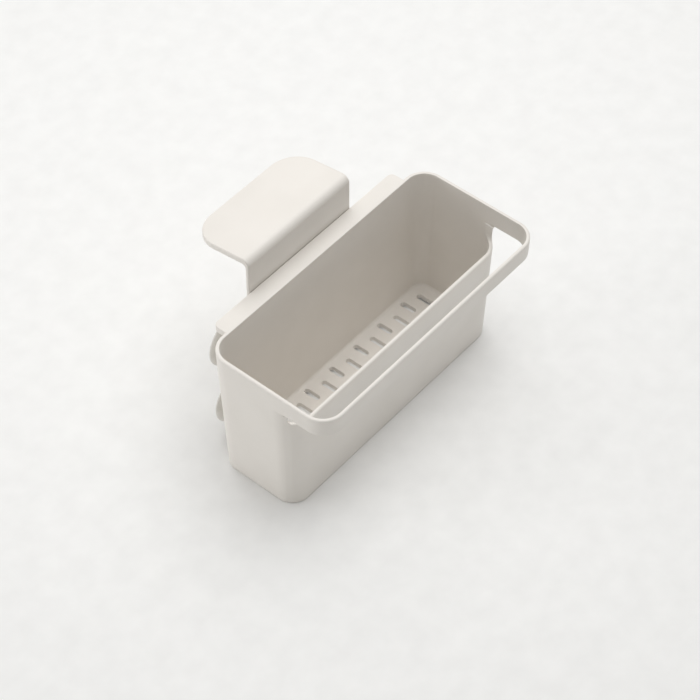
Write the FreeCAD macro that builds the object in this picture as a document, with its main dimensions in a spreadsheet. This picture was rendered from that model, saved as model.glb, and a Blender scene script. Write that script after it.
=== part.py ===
# Kitchen sink caddy: a moulded trough with a cloth rail, a hanging hook and four suction cups.
# Lengths are in millimetres. X runs along the trough, +Y to the sink wall behind it, +Z up.
# The origin is under the middle of the caddy's overall box, on the surface that it stands on.
import FreeCAD
import Part
import Sketcher
import math
import os
import re

# Driving sizes, one named value each
SIZES = {
    # Trough
    "base_length": 203.0,
    "base_depth": 62.8,
    "base_corner": 11.6,
    "wall_lean": 4.4,
    "wall_thickness": 2.4,
    "rim_height": 110.0,
    "rim_round": 1.0,
    "floor_rise": 6.7,
    "floor_thickness": 2.2,
    # Cloth rail, the band round the rim that runs free in front of the trough
    "band_height": 14.4,
    "rail_reach": 26.6,
    "end_wall_setback": 8.9,
    "sill_gap": 12.2,
    "sill_round": 4.0,
    # Drain slots
    "slot_width": 3.5,
    "slot_pitch": 12.6,
    "short_slot_length": 12.1,
    "short_slot_margin": 3.8,
    "long_slot_margin": 7.65,
    "slot_row_margin": 8.0,
    # Ledge behind the rim, whose edge turns down as a rail for the hook
    "ledge_inset": 14.5,
    "ledge_depth": 10.1,
    "ledge_thickness": 2.2,
    "ledge_corner": 4.0,
    "skirt_drop": 5.0,
    "skirt_thickness": 2.2,
    # Hook
    "hook_width": 98.0,
    "hook_shift": 3.6,
    "plate_thickness": 2.7,
    "hook_rise": 28.3,
    "tongue_reach": 49.8,
    "tongue_drop": 6.7,
    "tongue_thickness": 5.0,
    "tongue_corner": 20.0,
    "tongue_round": 1.2,
    "bend_round": 5.5,
    "throat_round": 2.5,
    "foot_thickness": 2.2,
    "foot_round": 2.0,
    "lip_thickness": 2.0,
    "slide_clearance": 0.3,
    # Suction cups
    "cup_inset": 34.5,
    "upper_gap_share": 0.276,
    "lower_gap_share": 0.143,
    "cup_stand": 9.9,
    "lip_diameter": 42.0,
    "lip_edge": 0.8,
    "hollow_depth": 5.2,
    "bell_round": 26.0,
    "hub_diameter": 14.0,
    "hub_height": 1.6,
    "neck_diameter": 6.0,
    "head_diameter": 10.0,
    "head_thickness": 2.2,
    "cup_clearance": 0.2,
    # Bosses that hold the cups' heads
    "boss_depth": 5.6,
    "boss_width": 17.0,
    "boss_tail": 9.0,
    "boss_plate": 2.0,
    # How far a cut runs past the face that it opens
    "overrun": 2.0,
}

# Places worked out from the sizes
BAND_FOOT = "(rim_height - band_height)"
SILL = f"({BAND_FOOT} - sill_gap)"
FLOOR_TOP = "(floor_rise + floor_thickness)"
BACK_FACE = "(base_depth / 2 + wall_lean)"
RAIL_FRONT = f"({BACK_FACE} + rail_reach)"
END_WALL_FRONT = f"({BACK_FACE} - end_wall_setback)"
LEDGE_HALF = "(base_length / 2 - ledge_inset)"
LEDGE_BACK = f"({BACK_FACE} + ledge_depth)"
LEDGE_UNDER = "(rim_height - ledge_thickness)"
SKIRT_FOOT = "(rim_height - skirt_drop)"
HOOK_FRONT = f"({LEDGE_BACK} + slide_clearance)"
HOOK_BACK = f"({HOOK_FRONT} + plate_thickness)"
TONGUE_BACK = f"({HOOK_FRONT} + tongue_reach)"
TONGUE_TOP = "(rim_height + hook_rise)"
TONGUE_SLOPE = "(tongue_drop / tongue_reach)"
SLOPE_LENGTH = f"sqrt(1 + {TONGUE_SLOPE} ^ 2)"
FRAME_MIDDLE = f"(({TONGUE_BACK} - {RAIL_FRONT}) / 2)"
WALL_ANGLE = "atan(wall_lean / rim_height)"

# The floor inside the walls, and how many slots its length takes
FLOOR_LEAN = f"(wall_lean * {FLOOR_TOP} / rim_height)"
FLOOR_LENGTH = f"(base_length + 2 * {FLOOR_LEAN} - 2 * wall_thickness)"
FLOOR_DEPTH = f"(base_depth + 2 * {FLOOR_LEAN} - 2 * wall_thickness)"
SLOT_ROW = f"({FLOOR_LENGTH} - 2 * slot_row_margin - slot_width)"
SHORT_SLOTS = f"floor({SLOT_ROW} / (2 * slot_pitch))"
LONG_SLOTS = f"({SHORT_SLOTS} + 1)"
SHORT_SLOT_PLACE = f"({FLOOR_DEPTH} / 2 - short_slot_margin - short_slot_length / 2)"
LONG_SLOT_LENGTH = f"({FLOOR_DEPTH} - 2 * long_slot_margin)"

# The cups stand in two rows that share out the height below the ledge
CUP_PLACE = "(base_length / 2 - cup_inset)"
CUP_GAPS = f"({SKIRT_FOOT} - 2 * lip_diameter)"
CUP_HEIGHTS = {
    "upper": f"({SKIRT_FOOT} - lip_diameter / 2 - upper_gap_share * {CUP_GAPS})",
    "lower": f"(lip_diameter / 2 + lower_gap_share * {CUP_GAPS})",
}

# Marks an arc that leaves the side before it smoothly, and how near two places are the same
TANGENT = "tangent"
NEAR = 1e-4

document = FreeCAD.newDocument("sink_caddy")
sheet = document.addObject("Spreadsheet::Sheet", "Sizes")
for row, (alias, size) in enumerate(SIZES.items(), start=1):
    sheet.set(f"A{row}", alias)
    sheet.set(f"B{row}", str(size))
    sheet.setAlias(f"B{row}", alias)
document.recompute()


def bound(formula):
    """Formula with each size's name pointed at the sheet."""
    return re.sub(r"[a-z_]+", lambda word: f"Sizes.{word[0]}" if word[0] in SIZES else word[0], formula)


def value(formula):
    """Number that a formula of sizes comes to."""
    result = sheet.evalExpression(formula)
    return float(getattr(result, "Value", result))


def lean_at(height):
    """How far the walls have leaned outwards at a height above the base."""
    return f"(wall_lean * {height} / rim_height)"


def wall_at(height):
    """Where the back wall's outer face stands along Y at a height above the base."""
    return f"(base_depth / 2 + {lean_at(height)})"


def boss_face_at(height):
    """Where the face of a cup's boss stands along Y at a height above the base."""
    return f"({wall_at(height)} + boss_depth)"


def new_body(name):
    """Body of one piece, with the label that names its file."""
    body = document.addObject("PartDesign::Body", name)
    body.Label = name
    body.setExpression("Placement.Base.y", bound(f"-{FRAME_MIDDLE}"))
    return body


def sketch_on(body, role, name, offset="0"):
    """Sketch on one of the body's own planes, moved along the plane's normal."""
    sketch = body.newObject("Sketcher::SketchObject", name)
    plane = next(feature for feature in body.Origin.OriginFeatures if feature.Role == role)
    sketch.AttachmentSupport = [(plane, "")]
    sketch.MapMode = "FlatFace"
    sketch.setExpression("AttachmentOffset.Base.z", bound(offset))
    document.recompute()
    return sketch


def pin(sketch, geometry, end, axis, formula):
    """Fix one coordinate of a point at a formula of sizes."""
    size = value(formula)
    if size == 0:
        axis_line = {"X": -2, "Y": -1}[axis]
        sketch.addConstraint(Sketcher.Constraint("PointOnObject", geometry, end, axis_line))
        return
    if size > 0:
        ends = (-1, 1, geometry, end)
        distance = formula
    else:
        ends = (geometry, end, -1, 1)
        distance = f"-({formula})"
    index = sketch.addConstraint(Sketcher.Constraint(f"Distance{axis}", *ends, abs(size)))
    sketch.setExpression(f"Constraints[{index}]", bound(distance))


def arc_between(start, end, heading, radius):
    """Arc from start to end: tangent to the heading, or of a signed radius, positive turning left."""
    chord = end.sub(start)
    left = FreeCAD.Vector(-chord.y, chord.x, 0).normalize()
    if radius == TANGENT:
        normal = FreeCAD.Vector(-heading.y, heading.x, 0)
        reach = chord.Length ** 2 / (2 * normal.dot(chord))
        centre = start.add(normal.multiply(reach))
        turn = math.copysign(1, reach)
        size = abs(reach)
    else:
        size = abs(value(radius))
        turn = math.copysign(1, value(radius))
        rise = math.sqrt(size ** 2 - chord.Length ** 2 / 4)
        centre = start.add(end).multiply(1 / 2).add(left.multiply(turn * rise))
    first, last = (start, end) if turn > 0 else (end, start)
    angles = [math.atan2(point.y - centre.y, point.x - centre.x) for point in (first, last)]
    if angles[1] <= angles[0]:
        angles[1] += 2 * math.pi
    circle = Part.Circle(centre, FreeCAD.Vector(0, 0, 1), size)
    spoke = end.sub(centre).normalize()
    leaving = FreeCAD.Vector(-spoke.y, spoke.x, 0).multiply(turn)
    return Part.ArcOfCircle(circle, *angles), turn, leaving


def outline(sketch, corners, arcs=None):
    """Closed outline through corners given as formulas, anticlockwise.

    arcs maps a side's number to TANGENT, for an arc that leaves the side before it smoothly, or to
    a formula for its radius, negative where the arc turns right.
    """
    arcs = arcs or {}
    points = [FreeCAD.Vector(value(x), value(y), 0) for x, y in corners]
    heading = points[0].sub(points[-1]).normalize()
    sides = []
    for number, start in enumerate(points):
        end = points[(number + 1) % len(points)]
        if number in arcs:
            geometry, turn, heading = arc_between(start, end, heading, arcs[number])
            ends = (1, 2) if turn > 0 else (2, 1)
        else:
            geometry = Part.LineSegment(start, end)
            heading = end.sub(start).normalize()
            ends = (1, 2)
        sides.append((sketch.addGeometry(geometry), *ends))
    for number, (geometry, start, end) in enumerate(sides):
        before, before_start, before_end = sides[number - 1]
        joint = "Tangent" if arcs.get(number) == TANGENT else "Coincident"
        sketch.addConstraint(Sketcher.Constraint(joint, before, before_end, geometry, start))
        pin(sketch, geometry, start, "X", corners[number][0])
        pin(sketch, geometry, start, "Y", corners[number][1])
        if arcs.get(number, TANGENT) != TANGENT:
            radius = Sketcher.Constraint("Radius", geometry, abs(value(arcs[number])))
            index = sketch.addConstraint(radius)
            sketch.setExpression(f"Constraints[{index}]", bound(f"abs({arcs[number]})"))


def rounded_rectangle(sketch, half_length, front, back, radius):
    """Rectangle with four equal round corners, from -front to +back in Y."""
    corners = [
        (f"-({half_length} - {radius})", f"-{front}"),
        (f"({half_length} - {radius})", f"-{front}"),
        (half_length, f"-({front} - {radius})"),
        (half_length, f"({back} - {radius})"),
        (f"({half_length} - {radius})", back),
        (f"-({half_length} - {radius})", back),
        (f"-{half_length}", f"({back} - {radius})"),
        (f"-{half_length}", f"-({front} - {radius})"),
    ]
    outline(sketch, corners, {1: TANGENT, 3: TANGENT, 5: TANGENT, 7: TANGENT})


def trough_outline(sketch, height, inset, front=f"{BACK_FACE}"):
    """Outline of the leaning walls at a height, drawn in by an inset; front is where the rim ends."""
    lean = lean_at(height)
    half_length = f"(base_length / 2 + {lean} - {inset})"
    back = f"(base_depth / 2 + {lean} - {inset})"
    front_side = f"({front} - wall_lean + {lean} - {inset})"
    rounded_rectangle(sketch, half_length, front_side, back, f"(base_corner + {lean} - {inset})")


def tombstones(sketch, height, half_width, tail):
    """Round-topped upright outlines round the axes of the two cups at a height."""
    for side in ("-", ""):
        left = f"({side}{CUP_PLACE} - {half_width})"
        right = f"({side}{CUP_PLACE} + {half_width})"
        foot = f"({height} - {tail})"
        corners = [(left, foot), (right, foot), (right, height), (left, height)]
        outline(sketch, corners, {2: TANGENT})


def slot(sketch, start, middle, length):
    """Drain slot with round ends across the floor, left of the middle by start."""
    half_width = "slot_width / 2"
    reach = f"({length} / 2 - {half_width})"
    left = f"(-{start} - {half_width})"
    right = f"(-{start} + {half_width})"
    low = f"({middle} - {reach})"
    high = f"({middle} + {reach})"
    outline(sketch, [(right, low), (right, high), (left, high), (left, low)], {1: TANGENT, 3: TANGENT})


def extrude(body, kind, sketch, length, reverse=False, taper=None, symmetric=False):
    """Pad or pocket of a sketch, checked for having changed the piece's volume."""
    before = body.Shape.Volume if body.Tip else 0
    feature = body.newObject(f"PartDesign::{kind}", f"{sketch.Name}_{kind.lower()}")
    feature.Profile = sketch
    feature.setExpression("Length", bound(length))
    feature.Reversed = reverse
    if taper:
        feature.setExpression("TaperAngle", bound(taper))
    if symmetric:
        feature.SideType = "Symmetric"
    document.recompute()
    change = feature.Shape.Volume - before
    if (change <= 0) if kind == "Pad" else (change >= 0):
        raise RuntimeError(f"{feature.Name} changed the volume by {change}")
    return feature


def row_of(body, feature, count, step):
    """Row of copies of a cut along +X."""
    pattern = body.newObject("PartDesign::LinearPattern", f"{feature.Name}_row")
    pattern.Originals = [feature]
    pattern.Direction = (feature.Profile[0], ["H_Axis"])
    pattern.setExpression("Length", bound(f"({count} - 1) * {step}"))
    pattern.setExpression("Occurrences", bound(count))
    body.Tip = pattern
    document.recompute()
    return pattern


def round_edges(body, name, radius, chosen):
    """Fillet of every edge of the piece for which chosen(edge) is true."""
    base = body.Tip
    names = [f"Edge{n}" for n, edge in enumerate(base.Shape.Edges, start=1) if chosen(edge)]
    fillet = body.newObject("PartDesign::Fillet", name)
    fillet.Base = (base, names)
    fillet.setExpression("Radius", bound(radius))
    document.recompute()
    return fillet


def lies_at(edge, height):
    """Whether an edge lies level at a height."""
    box = edge.BoundBox
    return math.isclose(box.ZMin, height, abs_tol=NEAR) and math.isclose(box.ZMax, height, abs_tol=NEAR)


def stands_at(edge, place):
    """Whether an edge stands upright at a place along Y."""
    box = edge.BoundBox
    level = math.isclose(box.YMin, place, abs_tol=NEAR) and math.isclose(box.YMax, place, abs_tol=NEAR)
    return level and box.XLength < NEAR


def build_basket():
    """Trough, cloth rail, ledge and bosses: one moulding."""
    body = new_body("basket")

    walls = sketch_on(body, "XY_Plane", "walls")
    trough_outline(walls, "0", "0")
    extrude(body, "Pad", walls, BAND_FOOT, taper=WALL_ANGLE)

    # The front wall stops lower than the ends, and the end walls step down to it
    sill = sketch_on(body, "YZ_Plane", "sill")
    above = f"({BAND_FOOT} + overrun)"
    corners = [
        (f"-{RAIL_FRONT}", SILL),
        (f"-({END_WALL_FRONT} + sill_round)", SILL),
        (f"-{END_WALL_FRONT}", f"({SILL} + sill_round)"),
        (f"-{END_WALL_FRONT}", above),
        (f"-{RAIL_FRONT}", above),
    ]
    outline(sill, corners, {1: TANGENT})
    extrude(body, "Pocket", sill, "base_length * 2", symmetric=True)

    band = sketch_on(body, "XY_Plane", "band", BAND_FOOT)
    trough_outline(band, BAND_FOOT, "0", RAIL_FRONT)
    extrude(body, "Pad", band, "band_height", taper=WALL_ANGLE)

    ledge = sketch_on(body, "XY_Plane", "ledge", "rim_height")
    root = f"({BACK_FACE} - wall_thickness / 2)"
    corners = [
        (f"-{LEDGE_HALF}", root),
        (LEDGE_HALF, root),
        (LEDGE_HALF, f"({LEDGE_BACK} - ledge_corner)"),
        (f"({LEDGE_HALF} - ledge_corner)", LEDGE_BACK),
        (f"-({LEDGE_HALF} - ledge_corner)", LEDGE_BACK),
        (f"-{LEDGE_HALF}", f"({LEDGE_BACK} - ledge_corner)"),
    ]
    outline(ledge, corners, {2: TANGENT, 4: TANGENT})
    extrude(body, "Pad", ledge, "skirt_drop", reverse=True)

    for level, height in CUP_HEIGHTS.items():
        bosses = sketch_on(body, "XZ_Plane", f"{level}_bosses", f"-{boss_face_at(height)}")
        tombstones(bosses, height, "boss_width / 2", "boss_tail")
        extrude(body, "Pad", bosses, "boss_depth + wall_thickness / 2")

    # The trough is hollow down to its floor, and again from below up to it
    hollow = sketch_on(body, "XY_Plane", "hollow", FLOOR_TOP)
    trough_outline(hollow, FLOOR_TOP, "wall_thickness")
    extrude(body, "Pocket", hollow, f"{BAND_FOOT} - {FLOOR_TOP}", reverse=True, taper=WALL_ANGLE)
    mouth = sketch_on(body, "XY_Plane", "mouth", BAND_FOOT)
    trough_outline(mouth, BAND_FOOT, "wall_thickness", RAIL_FRONT)
    extrude(body, "Pocket", mouth, "band_height + overrun", reverse=True, taper=WALL_ANGLE)
    recess = sketch_on(body, "XY_Plane", "recess")
    trough_outline(recess, "0", "wall_thickness")
    extrude(body, "Pocket", recess, "floor_rise", reverse=True, taper=WALL_ANGLE)

    # Long slots across the floor's middle alternate with pairs of short ones
    short = sketch_on(body, "XY_Plane", "short_slots", FLOOR_TOP)
    start = f"(({SHORT_SLOTS} - 1) * slot_pitch)"
    for side in ("-", ""):
        slot(short, start, f"({side}{SHORT_SLOT_PLACE})", "short_slot_length")
    short_cut = extrude(body, "Pocket", short, "floor_thickness + overrun")
    row_of(body, short_cut, SHORT_SLOTS, "2 * slot_pitch")
    long = sketch_on(body, "XY_Plane", "long_slots", FLOOR_TOP)
    slot(long, f"(({LONG_SLOTS} - 1) * slot_pitch)", "0", LONG_SLOT_LENGTH)
    long_cut = extrude(body, "Pocket", long, "floor_thickness + overrun")
    row_of(body, long_cut, LONG_SLOTS, "2 * slot_pitch")

    # Channel under the ledge, which leaves its edge turned down
    channel = sketch_on(body, "XY_Plane", "channel", SKIRT_FOOT)
    wall = wall_at(SKIRT_FOOT)
    side = f"({LEDGE_HALF} - skirt_thickness)"
    back = f"({LEDGE_BACK} - skirt_thickness)"
    outline(channel, [(f"-{side}", wall), (side, wall), (side, back), (f"-{side}", back)])
    depth = "skirt_drop - ledge_thickness"
    extrude(body, "Pocket", channel, depth, reverse=True, taper=f"-{WALL_ANGLE}")

    # Each boss is open at its foot: a wide slot for the cup's head behind a narrow one for its neck
    tail = "(boss_tail + overrun)"
    for level, height in CUP_HEIGHTS.items():
        face = boss_face_at(height)
        necks = sketch_on(body, "XZ_Plane", f"{level}_neck_slots", f"-{face}")
        tombstones(necks, height, "(neck_diameter / 2 + cup_clearance)", tail)
        extrude(body, "Pocket", necks, "boss_plate", reverse=True)
        heads = sketch_on(body, "XZ_Plane", f"{level}_head_slots", f"-({face} - boss_plate)")
        tombstones(heads, height, "(head_diameter / 2 + cup_clearance)", tail)
        extrude(body, "Pocket", heads, "head_thickness + 2 * cup_clearance", reverse=True)

    rim = value("rim_height")
    round_edges(body, "rim_edges", "rim_round", lambda edge: lies_at(edge, rim))
    return body


def build_hook():
    """Tongue over the sink's edge, bend, upright plate and a foot that grips the ledge's edge."""
    body = new_body("hanger_hook")
    body.setExpression("Placement.Base.x", bound("-hook_shift"))
    foot_top = f"({SKIRT_FOOT} - slide_clearance)"
    foot_under = f"({foot_top} - foot_thickness)"
    lip_back = f"({LEDGE_BACK} - skirt_thickness - slide_clearance)"
    lip_front = f"({lip_back} - lip_thickness)"
    lip_top = f"({LEDGE_UNDER} - slide_clearance)"
    # The tongue slopes down to its back, and both bends run tangent into that slope
    throat_corner = f"({TONGUE_TOP} - plate_thickness * {TONGUE_SLOPE} - tongue_thickness)"
    throat_run = f"(throat_round * ({TONGUE_SLOPE} + {SLOPE_LENGTH}))"
    bend_run = f"(bend_round * ({TONGUE_SLOPE} + {SLOPE_LENGTH}))"
    bend_end = f"({HOOK_FRONT} + {bend_run} / {SLOPE_LENGTH})"
    tip_top = f"({TONGUE_TOP} - tongue_drop)"
    corners = [
        (lip_front, foot_under),
        (f"({HOOK_BACK} - foot_round)", foot_under),
        (HOOK_BACK, f"({foot_under} + foot_round)"),
        (HOOK_BACK, f"({throat_corner} - {throat_run})"),
        (
            f"({HOOK_BACK} + {throat_run} / {SLOPE_LENGTH})",
            f"({throat_corner} - {throat_run} * {TONGUE_SLOPE} / {SLOPE_LENGTH})",
        ),
        (TONGUE_BACK, f"({tip_top} - tongue_thickness)"),
        (TONGUE_BACK, tip_top),
        (bend_end, f"({TONGUE_TOP} - {bend_run} * {TONGUE_SLOPE} / {SLOPE_LENGTH})"),
        (HOOK_FRONT, f"({TONGUE_TOP} - {bend_run})"),
        (HOOK_FRONT, foot_top),
        (lip_back, foot_top),
        (lip_back, lip_top),
        (lip_front, lip_top),
    ]
    profile = sketch_on(body, "YZ_Plane", "hook_profile")
    outline(profile, corners, {1: TANGENT, 3: TANGENT, 7: TANGENT})
    extrude(body, "Pad", profile, "hook_width", symmetric=True)

    # The tongue's back corners are round in plan, and its upper edge is eased
    back = value(TONGUE_BACK)
    round_edges(body, "tongue_corners", "tongue_corner", lambda edge: stands_at(edge, back))
    top = value(TONGUE_TOP)
    slope = value(TONGUE_SLOPE)
    front = value(HOOK_FRONT)

    def bounds_slope(edge):
        """Whether an edge lies on the tongue's sloping top, behind the bend."""
        rises = [point.Z + slope * (point.Y - front) for point in edge.Vertexes]
        level = all(math.isclose(rise, top, abs_tol=NEAR) for rise in rises)
        return level and edge.BoundBox.YMax > value(bend_end) + NEAR

    round_edges(body, "tongue_edges", "tongue_round", bounds_slope)
    return body


def build_cup(name, side, height):
    """Suction cup: a button head, a neck, a hub and a thin bell."""
    body = new_body(name)
    head_depth = "(boss_plate + cup_clearance + head_thickness)"
    body.setExpression("Placement.Base.x", bound(f"{side}{CUP_PLACE}"))
    body.setExpression("Placement.Base.y", bound(f"{boss_face_at(height)} - {head_depth} - {FRAME_MIDDLE}"))
    body.setExpression("Placement.Base.z", bound(height))
    body.Placement.Rotation = FreeCAD.Rotation(FreeCAD.Vector(1, 0, 0), -90)
    shoulder = "(head_thickness + boss_plate + 2 * cup_clearance)"
    lip = f"({head_depth} + cup_stand)"
    lip_radius = "(lip_diameter / 2)"
    hollow_radius = f"({lip_radius} - lip_edge)"
    corners = [
        ("0", "0"),
        ("head_diameter / 2", "0"),
        ("head_diameter / 2", "head_thickness"),
        ("neck_diameter / 2", "head_thickness"),
        ("neck_diameter / 2", shoulder),
        ("hub_diameter / 2", shoulder),
        ("hub_diameter / 2", f"({shoulder} + hub_height)"),
        (lip_radius, f"({lip} - lip_edge)"),
        (lip_radius, lip),
        (hollow_radius, lip),
        ("0", f"({lip} - hollow_depth)"),
    ]
    dome = f"-(({hollow_radius} ^ 2 + hollow_depth ^ 2) / (2 * hollow_depth))"
    profile = sketch_on(body, "XZ_Plane", f"{name}_profile")
    outline(profile, corners, {6: "bell_round", 9: dome})
    revolution = body.newObject("PartDesign::Revolution", f"{name}_revolution")
    revolution.Profile = profile
    revolution.ReferenceAxis = (profile, ["V_Axis"])
    document.recompute()
    return body


def check(pieces):
    """Stop unless every object was computed and every piece is one valid solid."""
    for item in document.Objects:
        if {"Invalid", "Error"} & set(item.State):
            raise RuntimeError(f"{item.Name} failed: {item.State}")
    for piece in pieces:
        shape = piece.Shape
        if shape.isNull() or not shape.isValid() or len(shape.Solids) != 1:
            raise RuntimeError(f"{piece.Label} is not one valid solid")


def main():
    """Build every piece, check it and write it out."""
    pieces = [build_basket(), build_hook()]
    for level, height in CUP_HEIGHTS.items():
        for hand, side in (("left", "-"), ("right", "")):
            pieces.append(build_cup(f"suction_cup_{level}_{hand}", side, height))
    document.recompute()
    check(pieces)
    os.makedirs("parts", exist_ok=True)
    for piece in pieces:
        piece.Shape.exportStep(f"parts/{piece.Label}.step")
        box = piece.Shape.BoundBox
        print(piece.Label, f"{piece.Shape.Volume:.1f}", box)


main()
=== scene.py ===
"""Looks of a kitchen sink caddy: a moulded trough with a cloth rail, a sliding hook and four suction cups.

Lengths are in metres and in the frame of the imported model: X runs along the trough, +Y to the sink wall
behind it and +Z up. Each surface is a grid of points worked out with numpy, and each class holds the
sizes of one sub-assembly and builds and dresses its meshes.
"""
import logging
import math
from dataclasses import dataclass
from enum import Enum

import bmesh
import bpy
import numpy as np
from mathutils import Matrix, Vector


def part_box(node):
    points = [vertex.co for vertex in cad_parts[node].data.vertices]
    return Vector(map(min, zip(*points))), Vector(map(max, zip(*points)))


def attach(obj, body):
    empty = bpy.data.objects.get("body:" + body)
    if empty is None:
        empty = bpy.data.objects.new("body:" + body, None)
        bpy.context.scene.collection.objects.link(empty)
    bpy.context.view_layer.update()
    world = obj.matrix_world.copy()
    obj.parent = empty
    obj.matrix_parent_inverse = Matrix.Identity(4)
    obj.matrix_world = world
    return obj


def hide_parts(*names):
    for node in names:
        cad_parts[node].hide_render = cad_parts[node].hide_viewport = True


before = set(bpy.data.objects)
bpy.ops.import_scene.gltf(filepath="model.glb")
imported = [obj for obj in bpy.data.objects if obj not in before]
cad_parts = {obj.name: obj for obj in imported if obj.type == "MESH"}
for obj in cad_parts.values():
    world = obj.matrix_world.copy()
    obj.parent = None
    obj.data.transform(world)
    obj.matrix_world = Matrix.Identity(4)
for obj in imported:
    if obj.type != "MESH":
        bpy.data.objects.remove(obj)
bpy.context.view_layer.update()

logging.basicConfig(level=logging.INFO, format="%(message)s")
log = logging.getLogger("sink_caddy")

Colour = tuple[float, float, float]
Place = tuple[float, float, float]
Pair = tuple[float, float]

HALF_TURN = math.pi
QUARTER_TURN = math.pi / 2
EIGHTH_TURN = math.pi / 4
DOWN = Vector((0, 0, -1))

# Points nearer to each other than this are welded
WELD = 1e-6

# Edges that bend by more than this are rounded
SHARP = math.radians(40)

# Range of a noise over which a colour goes from dark to light
NOISE_RANGE = (0.3, 0.7)

# Faces that close a boss's foot, as places in its profile
BOSS_FOOT = ((0, 1, 10, 11), (1, 8, 9, 10), (1, 2, 7, 8), (3, 4, 5, 2), (2, 5, 6, 7))


class Hand(Enum):
    """Side of the caddy, as seen from the front."""

    LEFT = "left"
    RIGHT = "right"


class Row(Enum):
    """Row of suction cups on the back wall."""

    UPPER = "upper"
    LOWER = "lower"


class Body(Enum):
    """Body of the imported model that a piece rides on."""

    BASKET = "basket"
    HOOK = "hook"


class Slot(Enum):
    """Material slot names for the plastic and for the cups."""

    PLASTIC = "moulded_plastic"
    CUP = "soft_cup"


@dataclass
class Surface:
    """Points and four-sided faces of a shell, before its seams are welded.

    Attributes:
        points: Array of n points by 3 coordinates.
        faces: Array of m faces by 4 point numbers.
        rounding: Share of the piece's edge rounding that edges take at each of the n points.
    """

    points: np.ndarray
    faces: np.ndarray
    rounding: np.ndarray

    @classmethod
    def grid(cls, points: np.ndarray, ring: bool = False, rounding: float | np.ndarray = 1.0) -> "Surface":
        """Faces between neighbouring points of a grid.

        Args:
            points: Array of rows by columns by 3 coordinates.
            ring: Whether the last column joins the first one.
            rounding: Share of the piece's edge rounding, for all points or for each.

        Returns:
            The grid as a surface.
        """
        rows, columns = points.shape[:2]
        numbers = np.arange(rows * columns).reshape(rows, columns)
        if ring:
            numbers = np.concatenate([numbers, numbers[:, :1]], axis=1)
        corners = [numbers[:-1, :-1], numbers[:-1, 1:], numbers[1:, 1:], numbers[1:, :-1]]
        faces = np.stack(corners, axis=-1).reshape(-1, 4)
        return cls(points.reshape(-1, 3), faces, np.broadcast_to(rounding, (rows, columns)).flatten())

    @classmethod
    def join(cls, *parts: "Surface") -> "Surface":
        """All parts as one surface, with the point numbers moved on.

        Args:
            parts: Surfaces that share seams or stand apart.

        Returns:
            The joined surface.
        """
        starts = np.cumsum([0] + [len(part.points) for part in parts[:-1]])
        faces = [part.faces + start for part, start in zip(parts, starts)]
        points = [part.points for part in parts]
        rounding = [part.rounding for part in parts]
        return cls(np.concatenate(points), np.concatenate(faces), np.concatenate(rounding))

    def make(self, name: str) -> bpy.types.Object:
        """Object with welded seams, outward faces and smooth shading.

        Each sharp edge takes the bevel weight that its two points have as rounding on average.

        Args:
            name: Name of the piece.

        Returns:
            The new object, linked to the scene.
        """
        mesh = bpy.data.meshes.new(name)
        mesh.from_pydata(self.points, [], self.faces)
        mesh.attributes.new("rounding", "FLOAT", "POINT").data.foreach_set("value", self.rounding)
        work = bmesh.new()
        work.from_mesh(mesh)
        bmesh.ops.remove_doubles(work, verts=work.verts, dist=WELD)
        bmesh.ops.recalc_face_normals(work, faces=work.faces)
        open_edges = sum(len(edge.link_faces) != 2 for edge in work.edges)
        rounding = work.verts.layers.float["rounding"]
        weight = work.edges.layers.float.new("bevel_weight_edge")
        for edge in work.edges:
            if edge.calc_face_angle(0) > SHARP:
                edge[weight] = (edge.verts[0][rounding] + edge.verts[1][rounding]) / 2
        work.to_mesh(mesh)
        work.free()
        mesh.polygons.foreach_set("use_smooth", np.ones(len(mesh.polygons), dtype=bool))
        piece = bpy.data.objects.new(name, mesh)
        bpy.context.scene.collection.objects.link(piece)
        log.info("%s: %d faces, %d open edges", name, len(mesh.polygons), open_edges)
        return piece


def placed(x: np.ndarray, y: np.ndarray, z: np.ndarray) -> np.ndarray:
    """Points from three coordinate arrays, which may be of any shapes that spread to one shape."""
    return np.stack(np.broadcast_arrays(x, y, z), axis=-1).astype(float)


def both_ways(half: np.ndarray) -> np.ndarray:
    """Values from minus the last to the last, for a rising half that starts at zero."""
    return np.concatenate([-half[:0:-1], half])


def eased_corner(radius: float, steps: int) -> tuple[np.ndarray, np.ndarray]:
    """First half of a round corner, from where the upright side ends to the corner's middle.

    The corner's circle touches both sides, so a point at angle a lies radius * (1 - cos a) from the
    upright side and radius * (1 - sin a) from the level side.

    Args:
        radius: Radius of the corner.
        steps: Number of points.

    Returns:
        Distances from the upright side and from the level side.
    """
    angle = np.linspace(0, EIGHTH_TURN, steps)
    return radius * (1 - np.cos(angle)), radius * (1 - np.sin(angle))


def round_over(piece: bpy.types.Object, radius: float, segments: int = 3) -> None:
    """Round every sharp edge of a piece and weight its normals by the faces' areas.

    Args:
        piece: Object with a closed mesh.
        radius: Width of the rounding on each side of an edge, at a bevel weight of one.
        segments: Number of faces across the rounding.
    """
    bevel = piece.modifiers.new("edges", "BEVEL")
    bevel.width = radius
    bevel.segments = segments
    bevel.limit_method = "WEIGHT"
    bevel.use_clamp_overlap = False
    shade = piece.modifiers.new("normals", "WEIGHTED_NORMAL")
    shade.keep_sharp = True


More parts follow.
